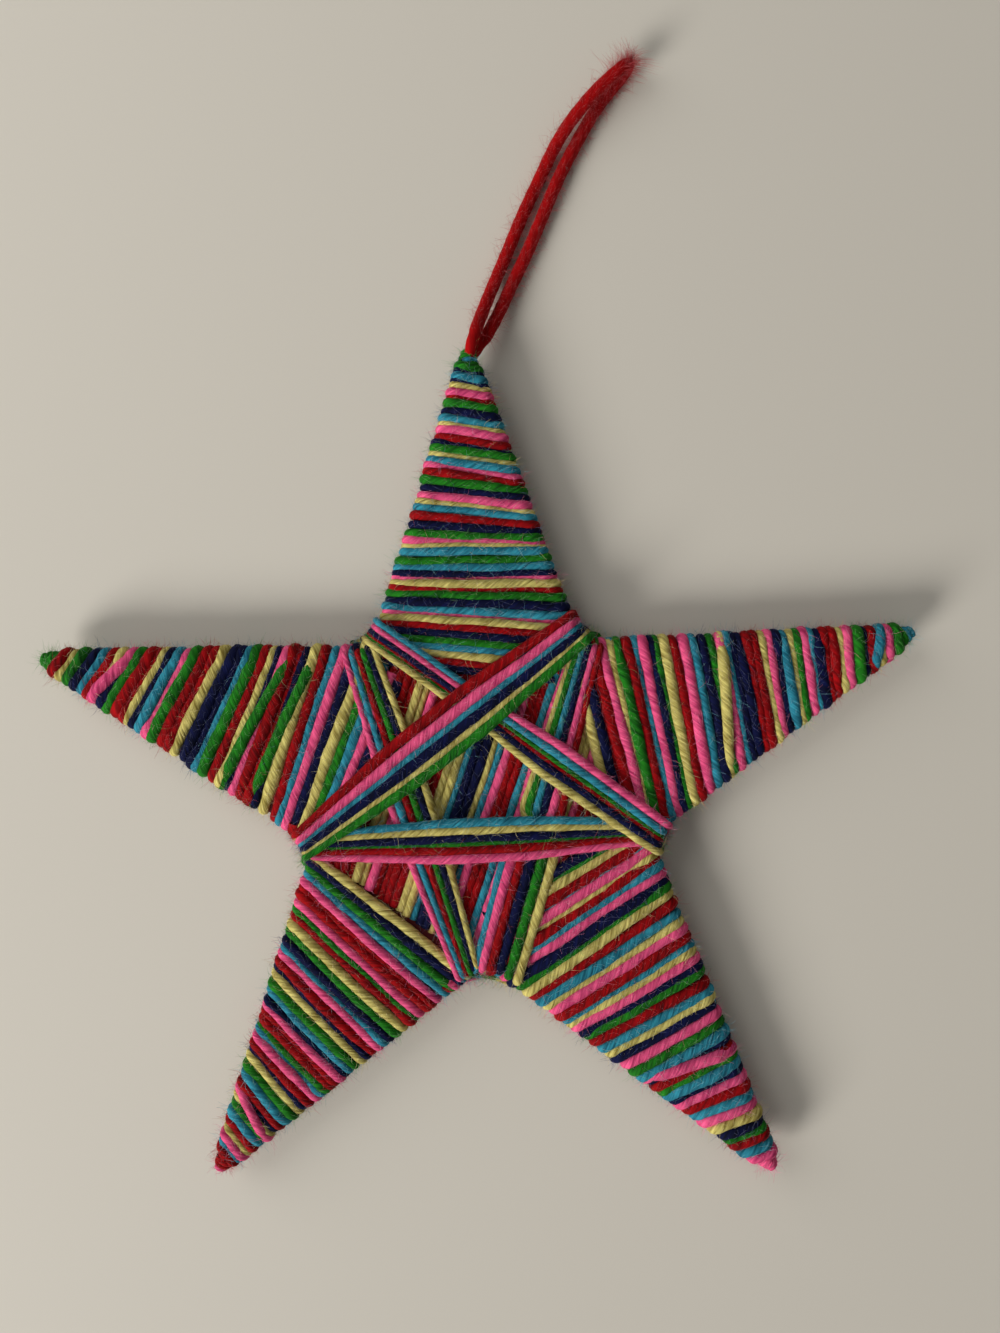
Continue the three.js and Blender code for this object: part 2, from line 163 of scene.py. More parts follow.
# The ribbon over the middle: notch to notch, front and back by turns. Notch 0 is clockwise of the top arm.
# A row is the first and last notch, the face, the yarns from left to right along the way at the start and
# at the end, the steps between yarns and the layers at the start, two crossings and the end, and the
# shifts clockwise in the two notches.
BANDS = (
    (4, 1, 1, "BPNrgY", "PBgrNY", (0.85, 0.95, 1.4, 1.2), (1, 0, 1, 1), (1.6, -0.3)),
    (1, 3, -1, "RPBNYG", "RPBNYG", (0.9, 1.3, 1.3, 0.9), (1, 1, 1, 1), (0, 0)),
    (3, 0, 1, "RPbNyG", "RPbNyG", (1.0, 1.8, 1.8, 1.2), (1, 1, 1, 1), (0.7, -1.2)),
    (0, 2, -1, "RPBNYG", "RPBNYG", (0.9, 1.3, 1.3, 0.9), (1, 1, 0, 1), (0, 0)),
    (2, 4, 1, "PBRGNY", "PBRGNY", (0.6, 1.2, 1.25, 0.9), (0, 0, 0, 0), (2.6, -1.6)),
    (4, 1, -1, "RPBNYG", "RPBNYG", (0.9, 1.3, 1.3, 0.9), (0, 0, 0, 0), (0, 0)),
    (1, 3, 1, "PRgNYB", "PRgNYB", (0.87, 1.42, 1.42, 0.87), (0, 1, 1, 0), (-1.9, 0.8)),
    (3, 0, -1, "RPBNYG", "RPBNYG", (0.9, 1.3, 1.3, 0.9), (0, 0, 1, 0), (0, 0)),
    (0, 2, 1, "RPNBGy", "YGNRPb", (0.87, 1.2, 1.64, 1.47), (0, 0, 0, 0), (1.0, -1.8)),
    (2, 4, -1, "RPBNYG", "RPBNYG", (0.9, 1.3, 1.3, 0.9), (0, 0, 1, 1), (0, 0)),
)
CROSSING_PLACES = (0.0, 0.382, 0.618, 1.0)
BAND_STEPS = 48
BAND_HEIGHT = 2.65
BAND_LAYER = 1.1
BAND_TURN = 1.1
BAND_THINNEST = 0.56
BAND_THICKEST = {1: 0.95, -1: 0.8}
BAND_SINK = 0.2
BAND_SWAY = 0.12

# Where a ribbon's yarns change their order: early from one notch, and later from the others.
EARLY_NOTCH = 4
EARLY_CHANGE = (0.33, 0.45)
LATE_CHANGE = (0.5, 0.61)

# Yarns in a notch: bedded in its round, then straight beside it, in layers.
NOTCH_SINK = 0.65
NOTCH_BEND = 0.6
NOTCH_SLOPE = 0.75
NOTCH_LAYER = 0.9

# First yarns over the card, seen between the bands: names from left to right.
UNDERWRAP_ORDER = "RRRrYyPrrRRYYbNNybPRRBPRRRrYYPRRR"
BACK_UNDERWRAP_ORDER = "RRYYP" + UNDERWRAP_ORDER + "PYYRR"
UNDERWRAP_PITCH = 1.25
UNDERWRAP_LEAN = math.radians(20)
UNDERWRAP_HEIGHT = HALF_CARD + 0.35
UNDERWRAP_OVERLAP = 2
UNDERWRAP_REACH = 25
UNDERWRAP_SHORTEST = 3
UNDERWRAP_FULL = 1.1
UNDERWRAP_THIN = 0.85
UNDERWRAP_SWAY = 0.25

# Hanging loop: X and Y from the top knob, Z above the table, out along one leg and back along the other.
LOOP_ROUTE = (
    (1.7, 2, 3.3),
    (3.6, 4.8, 2.8),
    (5.7, 8.8, 1.8),
    (7.9, 13.4, 1.3),
    (10.4, 18.3, 1.2),
    (12.6, 23, 1.2),
    (16.8, 32.2, 1.2),
    (19.8, 37.7, 1.2),
    (22.7, 42.5, 1.2),
    (25, 45.6, 1.2),
    (27.2, 48, 1.4),
    (28.9, 49.8, 2.2),
    (29.1, 50.2, 3.4),
    (27.8, 49.1, 4.5),
    (25.4, 47.1, 4.6),
    (23, 45, 4.3),
    (20.6, 42.6, 3.7),
    (18.4, 40.2, 2.9),
    (16.2, 37.2, 1.9),
    (13.2, 31.6, 1.2),
    (10.1, 25.4, 1.2),
    (7, 18.4, 1.4),
    (4.2, 11.9, 2.4),
    (2.5, 7.4, 4.1),
    (1.4, 4.2, 5.5),
    (0.7, 2.1, 6),
)
SPLINE_STEPS = 12
LOOP_YARN = 2.2
LOOP_LENGTH = 0.1152
LOOP_TWIST_LENGTH = TWIST_LENGTH * 2
LOOP_FULLNESS = 1.03
LOOP_TUCK = (0.2, -0.4)
LOOP_TUCK_RISE = 0.5
LOOP_TAPER = 14
LOOP_FOLD_THINNING = 0.1
LOOP_NECK = 5
LOOP_NECK_SHARE = 0.85

# Loose fibres of the yarns: hairs that stand off the edges, and strays that lie over the faces.
FIBRE_POINTS = 3
FIBRE_THINNING = 3
FUZZ_SHORTEST = 0.3
EDGE_HEIGHT = 0.95
EDGE_FUZZ_THICKNESS = 0.016
EDGE_FUZZ_PER_MM = 28
EDGE_FUZZ_LONGEST = 2.2
EDGE_FUZZ_RATE = 3 / EDGE_FUZZ_LONGEST
EDGE_FUZZ_ROOT = 0.85
HAIR_SPREAD = (0.4, 0.4, 0.2)
HAIR_LEAN = 0.8
HAIR_BEND = 0.8
HAIR_PLACES = (0, 0.55, 1)
FACE_FUZZ_THICKNESS = 0.018
FACE_FUZZ_PER_MM = 2.8
BACK_FUZZ_PER_MM = 1
FACE_FUZZ_LENGTH = (0.7, 3.0)
STRAY_RISE = 0.12
STRAY_BEND = 0.16
STRAY_UPWARDS = 0.9

# Fibres of the hanging loop, and the tuft at its fold.
LOOP_FUZZ_PER_MM = 40
LOOP_FUZZ_RATE = 1.5
LOOP_FUZZ_LONGEST = 2.6
LOOP_FUZZ_ROOT = 0.43
TUFT_FIBRES = 700
TUFT_REACH = 9
TUFT_ROOT = 0.4
TUFT_WAY = (0.6, 0.75, 0)
TUFT_SPREAD = (0.45, 0.45, 0.3)
TUFT_ALONG = Vector((0.78, -0.62, 0))
TUFT_LENGTH = (0.8, 3.4)

# Photograph: star centre and frame in pixels, and the size of a pixel on the star.
PHOTO_SIZE = (1000, 1333)
PHOTO_CENTRE = (480.1, 786.5)
PHOTO_TURN = math.radians(1.65)
PIXEL = 0.171
LENS = 28
SENSOR = 36

# Lamps, room and table, in metres and watts.
WINDOW_PLACE = (-1.1, -0.95, 0.72)
WINDOW_SIZE = 0.65
WINDOW_POWER = 25.5
WINDOW_COLOUR = (1.0, 0.975, 0.93)
SKY_PLACE = (-0.45, 0.3, 0.36)
SKY_SIZE = 0.6
SKY_POWER = 1.95
ROOM_COLOUR = (1.0, 0.985, 0.95)
ROOM_STRENGTH = 0.2
TABLE_HALF_SIZE = 1.5
TABLE_COLOUR = "cdc8be"

PIVOT = Vector(frame["joints"][0]["pos_m"]) / MM
CENTRE = PIVOT - Vector((0, REACH["top"], 0))

Edge = namedtuple("Edge", "tip along out centre straight length notch_way")
Strand = namedtuple("Strand", "letter radius lift left right")


# Camera, light and table

def add_object(name, data):
    piece = bpy.data.objects.new(name, data)
    bpy.context.scene.collection.objects.link(piece)
    return piece


def make_camera():
    """Looks straight down, turned a little so that the star leans as in the photograph."""
    right = (PHOTO_SIZE[0] / 2 - PHOTO_CENTRE[0]) * PIXEL
    up = (PHOTO_CENTRE[1] - PHOTO_SIZE[1] / 2) * PIXEL
    turn_x = right * math.cos(PHOTO_TURN) + up * math.sin(PHOTO_TURN)
    turn_y = up * math.cos(PHOTO_TURN) - right * math.sin(PHOTO_TURN)
    distance = PHOTO_SIZE[1] * PIXEL * LENS / SENSOR
    data = bpy.data.cameras.new("camera")
    data.lens = LENS
    data.sensor_width = SENSOR
    camera = add_object("camera", data)
    camera.location = (CENTRE + Vector((turn_x, turn_y, distance))) * MM
    camera.rotation_euler = (0, 0, -PHOTO_TURN)
    bpy.context.scene.camera = camera


def area_light(name, place, size, power, colour):
    data = bpy.data.lights.new(name, "AREA")
    data.shape = "DISK"
    data.size = size
    data.energy = power
    data.color = colour
    lamp = add_object(name, data)
    lamp.location = place
    lamp.rotation_euler = (-Vector(place)).to_track_quat("-Z", "Y").to_euler()


def make_light():
    """Soft window light from the lower left, a little from the upper left, and a pale room all round."""
    area_light("window", WINDOW_PLACE, WINDOW_SIZE, WINDOW_POWER, WINDOW_COLOUR)
    area_light("sky", SKY_PLACE, SKY_SIZE, SKY_POWER, ROOM_COLOUR)
    world = bpy.data.worlds.new("room")
    bpy.context.scene.world = world
    world.use_nodes = True
    background = world.node_tree.nodes["Background"]
    background.inputs["Color"].default_value = (*ROOM_COLOUR, 1)
    background.inputs["Strength"].default_value = ROOM_STRENGTH
    bpy.context.scene.view_settings.view_transform = "Standard"


def make_table():
    """A plain pale painted surface."""
    data = bpy.data.meshes.new("table")
    table = add_object("table", data)
    mesh = bmesh.new()
    bmesh.ops.create_grid(mesh, x_segments=1, y_segments=1, size=TABLE_HALF_SIZE)
    mesh.to_mesh(data)
    mesh.free()
    material = new_material("table_paint")
    shader = material.node_tree.nodes["Principled BSDF"]
    shader.inputs["Base Color"].default_value = srgb(TABLE_COLOUR)
    shader.inputs["Roughness"].default_value = 0.7
    data.materials.append(material)


# Materials

def srgb(code):
    """A colour written as a web code, as linear red, green, blue and alpha."""
    values = [int(code[i:i + 2], 16) / 255 for i in (0, 2, 4)]
    linear = [v / 12.92 if v <= 0.04045 else ((v + 0.055) / 1.055) ** 2.4 for v in values]
    return (*linear, 1)


def new_material(name):
    material = bpy.data.materials.new(name)
    material.use_nodes = True
    return material


def object_noise(material, scale, detail):
    """Even noise over a piece."""
    nodes = material.node_tree.nodes
    place = nodes.new("ShaderNodeTexCoord")
    patches = nodes.new("ShaderNodeTexNoise")
    patches.inputs["Scale"].default_value = scale
    patches.inputs["Detail"].default_value = detail
    material.node_tree.links.new(place.outputs["Object"], patches.inputs["Vector"])
    return patches.outputs["Fac"]


def stretched_noise(material, scale, detail):
    """Noise in streaks along a yarn's fibres, by millimetres along it and turns round it."""
    nodes = material.node_tree.nodes
    link = material.node_tree.links.new
    place = nodes.new("ShaderNodeTexCoord")
    stretch = nodes.new("ShaderNodeMapping")
    stretch.inputs["Scale"].default_value = (*scale, 1)
    link(place.outputs["UV"], stretch.inputs["Vector"])
    streaks = nodes.new("ShaderNodeTexNoise")
    streaks.inputs["Scale"].default_value = 1
    streaks.inputs["Detail"].default_value = detail
    streaks.inputs["Roughness"].default_value = 0.6
    link(stretch.outputs["Vector"], streaks.inputs["Vector"])
    return streaks.outputs["Fac"]


def add_up(material, first, second, share):
    """First value and a share of the second."""
    total = material.node_tree.nodes.new("ShaderNodeMath")
    total.operation = "MULTIPLY_ADD"
    total.inputs[1].default_value = share
    material.node_tree.links.new(second, total.inputs[0])
    material.node_tree.links.new(first, total.inputs[2])
    return total.outputs["Value"]


def shade_by(material, value, deep, bright, ends):
    """Colours a material from deep to bright, as a value goes from one end to the other."""
    nodes = material.node_tree.nodes
    ramp = nodes.new("ShaderNodeValToRGB")
    for stop, colour, position in zip(ramp.color_ramp.elements, (deep, bright), ends):
        stop.color = srgb(colour)
        stop.position = position
    material.node_tree.links.new(value, ramp.inputs["Fac"])
    material.node_tree.links.new(ramp.outputs["Color"], nodes["Principled BSDF"].inputs["Base Color"])


def yarn_material(name, deep, bright, sheen, relief):
    """Soft plied yarn: bundles of fibres along the twist, finer ones over them, and slow changes of shade."""
    material = new_material(name)
    nodes = material.node_tree.nodes
    link = material.node_tree.links.new
    shader = nodes["Principled BSDF"]
    shader.inputs["Roughness"].default_value = 0.85
    shader.inputs["Specular IOR Level"].default_value = 0.12
    shader.inputs["Sheen Weight"].default_value = 0.06
    shader.inputs["Sheen Roughness"].default_value = 0.5
    shader.inputs["Sheen Tint"].default_value = srgb(sheen)

    bundles = stretched_noise(material, BUNDLE_SCALE, BUNDLE_DETAIL)
    fibres = stretched_noise(material, FIBRE_SCALE, FIBRE_DETAIL)
    height = add_up(material, bundles, fibres, FIBRE_SHARE)
    patches = object_noise(material, PATCH_SCALE, PATCH_DETAIL)
    shade = add_up(material, height, patches, PATCH_SHARE)
    spread = nodes.new("ShaderNodeMapRange")
    spread.inputs["From Min"].default_value = SHADE_RANGE[0]
    spread.inputs["From Max"].default_value = SHADE_RANGE[1]
    link(shade, spread.inputs["Value"])
    shade_by(material, spread.outputs["Result"], deep, bright, SHADE_ENDS)

    bump = nodes.new("ShaderNodeBump")
    bump.inputs["Strength"].default_value = relief
    bump.inputs["Distance"].default_value = RELIEF_DEPTH
    link(height, bump.inputs["Height"])
    link(bump.outputs["Normal"], shader.inputs["Normal"])
    return material


def fuzz_material(name, deep, bright):
    """Loose fibres, some as deep as the yarn and some paler because light comes through them."""
    material = new_material(name)
    shader = material.node_tree.nodes["Principled BSDF"]
    shader.inputs["Roughness"].default_value = 0.6
    shader.inputs["Sheen Weight"].default_value = 0.3
    clumps = object_noise(material, CLUMP_SCALE, CLUMP_DETAIL)
    shade_by(material, clumps, deep, bright, CLUMP_ENDS)
    return material


def finish_card():
    """Red card, seen only through the gaps of the first yarns. Its deep tone is painted shade, as dark as the
    shadow between those yarns.
    """
    material = new_material("red_card_painted_shade")
    material.node_tree.nodes["Principled BSDF"].inputs["Roughness"].default_value = 0.85
    grain = object_noise(material, GRAIN_SCALE, GRAIN_DETAIL)
    # Painted shade: the card's red is darkened to the shadow in the gaps between the first yarns; the grain
    # varies it at random.
    shade_by(material, grain, "3c0206", "6c060c", GRAIN_ENDS)
    card = frame["nodes"]["star_card"].data
    card.materials.clear()
    card.materials.append(material)


# Lines

def smooth_step(t):
    t = min(max(t, 0.0), 1.0)
    return t * t * (3 - 2 * t)


def spaced(points, step):
    """The same line with points a step apart. Each point may carry a radius after its place."""
    line = np.array(points, float)
    gaps = np.linalg.norm(np.diff(line[:, :3], axis=0), axis=1)
    along = np.concatenate(([0], np.cumsum(gaps)))
    count = max(int(along[-1] / step), 2)
    stops = np.linspace(0, along[-1], count + 1)
    return np.array([np.interp(stops, along, line[:, k]) for k in range(line.shape[1])]).T


def smooth_route(points, step):
    """A smooth curve through points, as a centripetal spline."""
    knots = [Vector(p) for p in points]
    knots = [2 * knots[0] - knots[1], *knots, 2 * knots[-1] - knots[-2]]
    line = []
    for a, b, c, d in zip(knots, knots[1:], knots[2:], knots[3:]):
        t1 = (b - a).length ** 0.5
        t2 = t1 + (c - b).length ** 0.5
        t3 = t2 + (d - c).length ** 0.5
        for i in range(SPLINE_STEPS):
            t = t1 + (t2 - t1) * i / SPLINE_STEPS
            ab = a.lerp(b, t / t1)
            bc = b.lerp(c, (t - t1) / (t2 - t1))
            cd = c.lerp(d, (t - t2) / (t3 - t2))
            abc = ab.lerp(bc, t / t2)
            bcd = bc.lerp(cd, (t - t1) / (t3 - t1))
            line.append(abc.lerp(bcd, (t - t1) / (t2 - t1)))
    line.append(knots[-2])
    return spaced(line, step)


def across(bearing, u, v, z=0.0):
    """A point u to the right of an arm's axis and v along it, in the star's own frame."""
    s = math.sin(bearing)
    c = math.cos(bearing)
    return Vector((u * c + v * s, v * c - u * s, z))


def to_row(line):
    """Places in the star's frame, in millimetres, as places in the row frame, in metres."""
    return (np.asarray(line)[:, :3] + np.array(CENTRE)) * MM


# Yarn

def cross_section(name, sides, lobes, depth):
    """Outline of a strand of radius one millimetre: a round with lobes, such as plies."""
    curve = bpy.data.curves.new(name, "CURVE")
    spline = curve.splines.new("POLY")
    spline.points.add(sides - 1)
    for i, point in enumerate(spline.points):
        angle = 2 * math.pi * i / sides
        radius = MM * (1 - depth / 2 + depth / 2 * math.cos(lobes * angle))
        point.co = (radius * math.cos(angle), radius * math.sin(angle), 0, 1)
    spline.use_cyclic_u = True
    return add_object(name, curve)


def tube(name, lines, section, twist_length=0.0):
    """Tubes along lines in the row frame, in metres, as one mesh. A line is its places and its radii.
    U of the mesh runs along a tube in millimetres and V once round it."""
    curve = bpy.data.curves.new(name, "CURVE")
    curve.dimensions = "3D"
    curve.twist_mode = "MINIMUM"
    curve.use_fill_caps = True
    curve.bevel_mode = "OBJECT"
    curve.bevel_object = section
    distances = []
    for places, radii in lines:
        spline = curve.splines.new("POLY")
        spline.points.add(len(places) - 1)
        gaps = np.linalg.norm(np.diff(places, axis=0), axis=1)
        along = np.concatenate(([0], np.cumsum(gaps))) / MM
        distances.append(along)
        spline.points.foreach_set("co", np.c_[places, np.ones(len(places))].ravel())
        spline.points.foreach_set("radius", np.asarray(radii, float))
        if twist_length:
            spline.points.foreach_set("tilt", along * 2 * math.pi / twist_length)
    holder = add_object(name + "_line", curve)
    bpy.context.view_layer.update()
    shaped = holder.evaluated_get(bpy.context.evaluated_depsgraph_get())
    mesh = bpy.data.meshes.new_from_object(shaped)
    bpy.data.objects.remove(holder)
    bpy.data.curves.remove(curve)
    mesh.name = name
    mesh.materials.clear()
    mesh.polygons.foreach_set("use_smooth", np.ones(len(mesh.polygons), bool))
    corners = np.zeros(len(mesh.loops), np.int32)
    mesh.loops.foreach_get("vertex_index", corners)
    uv = np.zeros(len(mesh.loops) * 2)
    layer = mesh.uv_layers.active
    layer.data.foreach_get("uv", uv)
    caps = np.zeros(2 * len(lines))
    sides = len(section.data.splines[0].points)
    uv[0::2] = np.repeat(np.concatenate((caps, *distances)), sides)[corners]
    layer.data.foreach_set("uv", uv)
    whole = bmesh.new()
    whole.from_mesh(mesh)
    bmesh.ops.remove_doubles(whole, verts=whole.verts, dist=WELD_DISTANCE)
    whole.to_mesh(mesh)
    whole.free()
    return add_object(name, mesh)


fuzz_roots = {letter: [] for letter in COLOURS}


def unsteady(line, name, sway):
    """A hand-wound line: it wanders a little and its thickness changes."""
    seed = random.Random(name).uniform(0, SEED_RANGE)
    loose = np.array(line, float)
    for i, point in enumerate(loose):
        t = i * YARN_STEP
        drift = [noise.noise(Vector((t * SWAY_RATE, seed, plane))) for plane in SWAY_PLANES]
        point[:3] += np.array(drift) * sway
        point[3] *= 1 + YARN_UNEVEN * noise.noise(Vector((t * UNEVEN_RATE, seed, UNEVEN_PLANE)))
    return loose


def yarn_piece(name, letter, lines, node, sway):
    """One yarn along lines of places and radii in the star's frame, in millimetres."""
    loose = [unsteady(spaced(line, YARN_STEP), f"{name}{k}", sway) for k, line in enumerate(lines)]
    piece = tube(name, [(to_row(line), line[:, 3]) for line in loose], YARN_SECTION, TWIST_LENGTH)
    piece.data.materials.append(YARN_MATERIALS[letter])
    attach(piece, "star")
    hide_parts(node)
    fuzz_roots[letter] += loose


def room_for(letter):
    """Room that a yarn takes beside others, in yarns. A half hidden one takes less."""
    return 1.0 if letter.isupper() else HIDDEN_ROOM


# Arms

def arm_edges(arm):
    """The two sides of an arm, left and right, in the arm's u and v. Straight and length are measured
    from the tip, to the start of the notch's round and to the notch."""
    half = ARM_STEP / 2
    reach = REACH[arm]
    edges = {}
    for side in (-1, 1):
        tip = Vector((side * TIP_WIDTH / 2, reach))
        notch = Vector((side * NOTCH_RADIUS * math.sin(half), NOTCH_RADIUS * math.cos(half)))
        along = (notch - tip).normalized()
        out = Vector((-along.y, along.x)) * side
        notch_way = Vector((side * math.sin(half), math.cos(half)))
        half_angle = math.acos(-along.dot(notch_way))
        centre = notch + notch_way * (NOTCH_FILLET / math.sin(half_angle))
        straight = (notch - tip).length - NOTCH_FILLET / math.tan(half_angle)
        length = straight + NOTCH_FILLET * (math.pi / 2 - half_angle)
        edges[side] = Edge(tip, along, out, centre, straight, length, notch_way)
    return edges


def edge_spot(edge, s):
    """Place and way out at a distance from the tip: the straight side, the notch's round, then inwards."""
    if s <= edge.straight:
        return edge.tip + edge.along * s, edge.out
    if s > edge.length:
        return edge.centre - edge.notch_way * (NOTCH_FILLET + s - edge.length), edge.notch_way
    turn = (s - edge.straight) / NOTCH_FILLET
    way = edge.out * math.cos(turn) - edge.along * math.sin(turn)
    return edge.centre - way * NOTCH_FILLET, way


def face_ends(start_edge, start, stop_edge, stop):
    """Where a yarn across a face comes up over one side of the arm and goes down over the other."""
    first = edge_spot(start_edge, start)[0]
    last = edge_spot(stop_edge, stop)[0]
    way = (last - first).normalized() * EDGE_INSET
    return first + way * min(start / EDGE_INSET_FROM, 1), last - way * min(stop / EDGE_INSET_FROM, 1)


def order_yarns(order):
    """Letters of an order with, for each, whether it slants over its neighbours."""
    return [(letter, order[k + 1:k + 2] == "+") for k, letter in enumerate(order) if letter != "+"]


def arm_strands(arm):
    """Every yarn over an arm's front. Left and right are where it meets the sides."""
    length = arm_edges(arm)[1].length
    rng = random.Random(arm)
    yarns = order_yarns(WINDING_ORDER[arm])
    room = [STEEP_ROOM if steep else room_for(letter) for letter, steep in yarns]
    unit = (length + BASE_REACH[arm] - WINDING_START) / sum(room)
    stops = WINDING_START + (np.cumsum(room) - np.array(room) / 2) * unit
    strands = []
    for (letter, steep), s in zip(yarns, stops):
        width = TIP_WIDTH + s * SIDE_SPREAD
        rise = width * np.interp(s / length, SLOPE_PLACES, SLOPES[arm])
        lift = rng.uniform(-STRAND_PLAY, STRAND_PLAY)
        radius = YARN_SHARE * unit * rng.uniform(*STRAND_THICKNESS)
        if steep:
            rise += STEEP_RISE * min(width / STEEP_WIDTH, 1)
            lift += STEEP_LIFT
        if letter.islower():
            lift -= HIDDEN_SINK
            radius *= THIN_SHARE
        left = max(s - rise / 2 + rng.uniform(-STRAND_PLAY, STRAND_PLAY), WINDING_LEAST)
        right = max(s + rise / 2 + rng.uniform(-STRAND_PLAY, STRAND_PLAY), WINDING_LEAST)
        strands.append(Strand(letter.upper(), radius, lift, left, right))
    return strands


def round_edge(bearing, edge, s, start, stop, face, radius):
    """A yarn's way round the side of the card, from one face to the other. It swells a little on the turn."""
    points = []
    spot, out = edge_spot(edge, s)
    for i in range(EDGE_STEPS + 1):
        turn = math.pi * i / EDGE_STEPS
        inner = start if 2 * i < EDGE_STEPS else stop
        place = inner.lerp(spot + out * EDGE_OUT, math.sin(turn))
        height = face * ARM_HEIGHT * math.cos(turn)
        swell = 1 + (EDGE_SWELL - 1) * math.sin(turn)
        points.append((*across(bearing, place.x, place.y, height), radius * swell))
    return points


def face_run(bearing, start, stop, face, radius, lift):
    """A yarn's way across a face, between two places in the arm's u and v. It is highest in the middle."""
    points = []
    crown = ARM_CROWN * min((stop - start).length / CROWN_WIDTH, 1)
    for i in range(1, FACE_STEPS):
        t = i / FACE_STEPS
        place = start.lerp(stop, t)
        swell = 4 * t * (1 - t)
        height = face * (ARM_HEIGHT + crown * swell + lift * min(LIFT_ONSET * swell, 1))
        points.append((*across(bearing, place.x, place.y, height), radius))
    return points


def inner_end(bearing, edge, s, radius):
    """Where a yarn of the front goes under the bands, on the way from a notch to the centre."""
    spot, _ = edge_spot(edge, s)
    return [(*across(bearing, spot.x, spot.y, ARM_HEIGHT - INNER_SINK), radius)]


def arm_winding(arm, index, letter):
    """One yarn round and round an arm, as lines of places and radii. Past a notch it goes under the bands."""
    bearing = index * ARM_STEP
    edges = arm_edges(arm)
    left_edge = edges[-1]
    right_edge = edges[1]
    turns = [strand for strand in arm_strands(arm) if strand.letter == letter]
    fronts = [face_ends(left_edge, turn.left, right_edge, turn.right) for turn in turns]
    lines = []
    line = []
    for n, (_, radius, lift, left, right) in enumerate(turns):
        first, last = fronts[n]
        is_last = n + 1 == len(turns)
        if left > left_edge.length:
            line = inner_end(bearing, left_edge, left, radius)
        elif not line:
            line = round_edge(bearing, left_edge, left, first, first, -1, radius)
        line += face_run(bearing, first, last, 1, radius, lift)
        if right > right_edge.length:
            lines.append(line + inner_end(bearing, right_edge, right, radius))
            line = []
            continue
        back_after = left + LAST_TURN if is_last else turns[n + 1].left
        stops = is_last or back_after > left_edge.length
        target = min(back_after, left_edge.length)
        back_first, back_last = face_ends(right_edge, right, left_edge, target)
        up_to = back_last if stops else fronts[n + 1][0]
        line += round_edge(bearing, right_edge, right, last, back_first, 1, radius)
        line += face_run(bearing, back_first, back_last, -1, radius, 0)
        line += round_edge(bearing, left_edge, target, back_last, up_to, -1, radius)
        if stops:
            lines.append(line)
            line = []
    return lines


def make_arms():
    for index, arm in enumerate(ARMS):
        for letter, colour in COLOURS.items():
            lines = arm_winding(arm, index, letter)
            yarn_piece(f"{arm}_{colour}_winding", letter, lines, f"{arm}_arm_{colour}_yarn", ARM_SWAY)


def make_knobs():
    """A few tight turns of yarn over the end of each arm, closing on the tip."""
    for index, arm in enumerate(ARMS):
        bearing = index * ARM_STEP
        order = KNOB_ORDER[arm]
        size = KNOB_SIZE[arm]
        for k, letter in enumerate(order):
            points = []
            for i in range(KNOB_STEPS + 1):
                t = (k + i / KNOB_STEPS) / len(order)
                angle = 2 * math.pi * KNOB_TURNS * t
                v = REACH[arm] - KNOB_BACK + KNOB_LENGTH * t
                shrink = math.sqrt(max(1 - t ** KNOB_TAPER, 0.0))
                u = size * (KNOB_HALF_WIDTH * shrink + KNOB_CORE) * math.sin(angle)
                z = size * (KNOB_HALF_HEIGHT * shrink + KNOB_CORE) * math.cos(angle)
                radius = size * YARN_RADIUS * (KNOB_FULLNESS - KNOB_THINNING * t)
                points.append((*across(bearing, u, v, z), radius))
            yarn_piece(f"{arm}_knob_{k + 1}", letter, [points], f"{arm}_tip_knob", KNOB_SWAY)


# Middle

def notch_frame(notch):
    """Centre of a notch's round, the way out of the star there, and the way clockwise."""
    bearing = (notch + 0.5) * ARM_STEP
    reach = sum(REACH.values()) / len(REACH)
    half = ARM_STEP / 2
    edge = Vector((NOTCH_RADIUS * math.sin(half) - TIP_WIDTH / 2, NOTCH_RADIUS * math.cos(half) - reach))
    half_angle = math.atan2(edge.x, -edge.y) + half
    centre = across(bearing, 0, NOTCH_RADIUS + NOTCH_FILLET / math.sin(half_angle))
    return centre, across(bearing, 0, 1), across(bearing, 1, 0)


def notch_spot(notch, sideways, layer):
    """Place of a yarn in a notch, sideways from its middle and outwards by layers."""
    centre, out, clockwise = notch_frame(notch)
    round_radius = NOTCH_FILLET - NOTCH_SINK
    bend = min(abs(sideways), round_radius * NOTCH_BEND)
    past = abs(sideways) - bend
    depth = math.sqrt(round_radius ** 2 - bend ** 2) - past * NOTCH_SLOPE - layer * NOTCH_LAYER
    return centre - out * depth + clockwise * sideways


def band_slot(order, letter):
    """How far a yarn lies from the middle of the ribbon, in yarns."""
    room = [room_for(name) for name in order]
    k = order.upper().index(letter)
    return sum(room[:k]) + room[k] / 2 - sum(room) / 2


